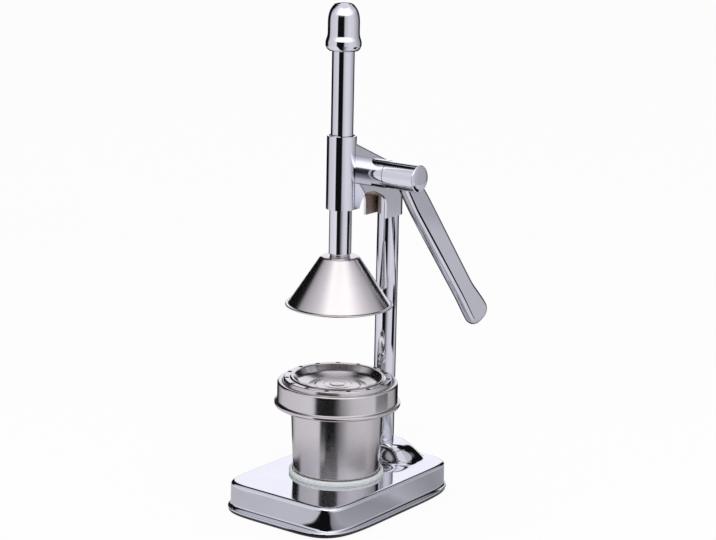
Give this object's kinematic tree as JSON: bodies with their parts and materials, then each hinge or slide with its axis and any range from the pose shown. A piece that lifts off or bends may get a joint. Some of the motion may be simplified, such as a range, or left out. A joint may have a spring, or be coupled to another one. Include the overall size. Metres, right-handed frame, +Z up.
{
  "type": "lever citrus juice press",
  "caption": "Upright chrome citrus juice press: a side lever drives a rack and pinion that pushes a cone-shaped hood down on a perforated strainer dish over a steel cup, on a bowed rectangular base.",
  "frame": {"origin": "on the underside of the rubber pad, on the worktop, under the axis of the ram and the cup", "axes": "+Z up, the ram's axis; -Y towards the user; +Y towards the column; +X the side of the lever"},
  "size_m": [0.1308, 0.2405, 0.4286],
  "materials": {
    "chrome_casting": "mirror",
    "chrome_tube": "mirror",
    "satin_stainless": "satin",
    "zinc_steel": "satin",
    "bronze": "satin",
    "nylon": "matte",
    "frosted_plastic": "frosted",
    "rubber_pad": "matte"
  },
  "bodies": {
    "stand": {"base_pad": "rubber_pad", "base_shell": "chrome_casting", "cup_seat_ring": "frosted_plastic", "column": "chrome_tube", "foot_washer": "zinc_steel", "foot_nut": "zinc_steel", "tie_rod": "zinc_steel", "head_casting": "chrome_casting", "ram_bush_upper": "nylon", "ram_bush_lower": "nylon", "shaft_bush_right": "bronze", "shaft_bush_left": "bronze"},
    "ram": {"ram_rod": "chrome_tube", "rack": "zinc_steel", "ram_cap": "chrome_casting", "hood_collar": "satin_stainless", "press_hood": "satin_stainless", "hood_washer": "zinc_steel", "hood_bolt": "zinc_steel", "ram_plug": "zinc_steel"},
    "lever": {"lever_shaft": "zinc_steel", "pinion": "zinc_steel", "shaft_washer": "zinc_steel", "shaft_circlip": "zinc_steel", "lever_arm": "chrome_casting", "hub_cap": "chrome_casting", "hub_grub_screw": "zinc_steel"},
    "cup": {"cup": "satin_stainless"},
    "collar": {"strainer_collar": "satin_stainless", "strainer_funnel": "satin_stainless"},
    "dish": {"strainer_dish": "satin_stainless"}
  },
  "joints": [
    {"name": "lever_turn", "type": "hinge", "parent": "stand", "child": "lever", "pos_m": [0, 0.024, 0.286], "axis": [-1, 0, 0], "range_deg": [-263, 26]},
    {"name": "ram_slide", "type": "slide", "parent": "stand", "child": "ram", "axis": [0, 0, 1], "range_m": [-0.0621, 0.0063]},
    {"name": "cup_turn", "type": "hinge", "parent": "stand", "child": "cup", "pos_m": [0, 0, 0.0268], "axis": [0, 0, 1], "range_deg": [-180, 180]},
    {"name": "collar_turn", "type": "hinge", "parent": "cup", "child": "collar", "pos_m": [0, 0, 0.0986], "axis": [0, 0, 1], "range_deg": [-180, 180]},
    {"name": "dish_turn", "type": "hinge", "parent": "collar", "child": "dish", "pos_m": [0, 0, 0.1058], "axis": [0, 0, 1], "range_deg": [-180, 180]}
  ],
  "couplings": [
    {"joint": "ram_slide", "follows": "lever_turn", "m_per_rad": 0.0135}
  ]
}
